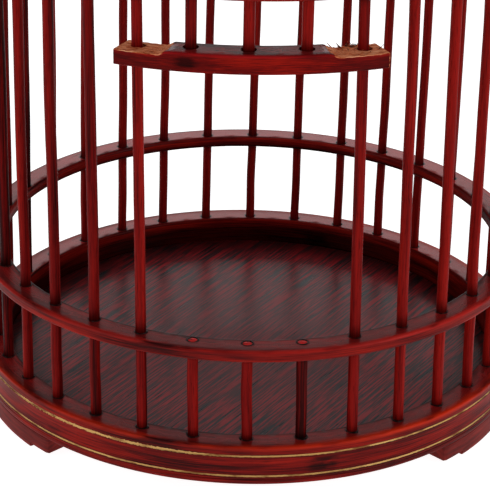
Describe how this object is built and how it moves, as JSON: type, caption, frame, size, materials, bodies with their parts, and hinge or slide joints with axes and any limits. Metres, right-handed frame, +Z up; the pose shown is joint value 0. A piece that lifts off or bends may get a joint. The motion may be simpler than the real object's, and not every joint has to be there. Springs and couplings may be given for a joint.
{
  "type": "bird cage",
  "caption": "Round red-lacquered bamboo bird cage with a domed top, a lift-up barred door, low block feet and a swivelling hanging hook.",
  "frame": {"origin": "on the ground at the cage axis, under the feet", "axes": "+Z up along the cage axis, -Y out through the doorway, +X to the right of a viewer who faces the door"},
  "size_m": [0.31, 0.31, 0.4688],
  "materials": {
    "bar_lacquer": "satin dark red lacquer over split bamboo, fine dark grain",
    "hoop_lacquer": "glossy dark red lacquer, rubbed brighter on the edges, two gilt lines round the base",
    "door_lacquer": "glossy red lacquer, raw wood at the whittled ends",
    "floor_lacquer": "glossy near-black panel with fine red streaks",
    "foot_lacquer": "satin dark red-brown lacquer",
    "crown_lacquer": "glossy dark red lacquer",
    "hook_brass": "satin brass"
  },
  "bodies": {
    "cage": {"bar_back": "bar_lacquer", "bar_left_02": "bar_lacquer", "bar_left_03": "bar_lacquer", "bar_left_04": "bar_lacquer", "bar_left_05": "bar_lacquer", "bar_left_06": "bar_lacquer", "bar_left_07": "bar_lacquer", "bar_left_08": "bar_lacquer", "bar_left_09": "bar_lacquer", "bar_left_10": "bar_lacquer", "bar_left_11": "bar_lacquer", "bar_left_12": "bar_lacquer", "bar_left_13": "bar_lacquer", "bar_left_14": "bar_lacquer", "bar_left_15": "bar_lacquer", "bar_right_02": "bar_lacquer", "bar_right_03": "bar_lacquer", "bar_right_04": "bar_lacquer", "bar_right_05": "bar_lacquer", "bar_right_06": "bar_lacquer", "bar_right_07": "bar_lacquer", "bar_right_08": "bar_lacquer", "bar_right_09": "bar_lacquer", "bar_right_10": "bar_lacquer", "bar_right_11": "bar_lacquer", "bar_right_12": "bar_lacquer", "bar_right_13": "bar_lacquer", "bar_right_14": "bar_lacquer", "bar_right_15": "bar_lacquer", "base_hoop": "hoop_lacquer", "crown_cap": "crown_lacquer", "crown_plate": "crown_lacquer", "dome_rib_left": "bar_lacquer", "dome_rib_right": "bar_lacquer", "floor_panel": "floor_lacquer", "foot_1": "foot_lacquer", "foot_2": "foot_lacquer", "foot_3": "foot_lacquer", "short_bar_left_1": "bar_lacquer", "short_bar_middle": "bar_lacquer", "short_bar_right_1": "bar_lacquer", "shoulder_hoop": "hoop_lacquer", "waist_hoop": "hoop_lacquer"},
    "door": {"door_bar_left_1": "bar_lacquer", "door_bar_middle": "bar_lacquer", "door_bar_right_1": "bar_lacquer", "door_rail": "door_lacquer"},
    "hook": {"hook": "hook_brass", "hook_collar": "hook_brass", "hook_nut": "hook_brass"}
  },
  "joints": [
    {"name": "door_slide", "type": "slide", "parent": "cage", "child": "door", "axis": [0, 0, 1], "range_m": [-0.148, 0.0268]},
    {"name": "hook_swivel", "type": "hinge", "parent": "cage", "child": "hook", "pos_m": [0, 0, 0.384], "axis": [0, 0, 1], "continuous": true}
  ]
}
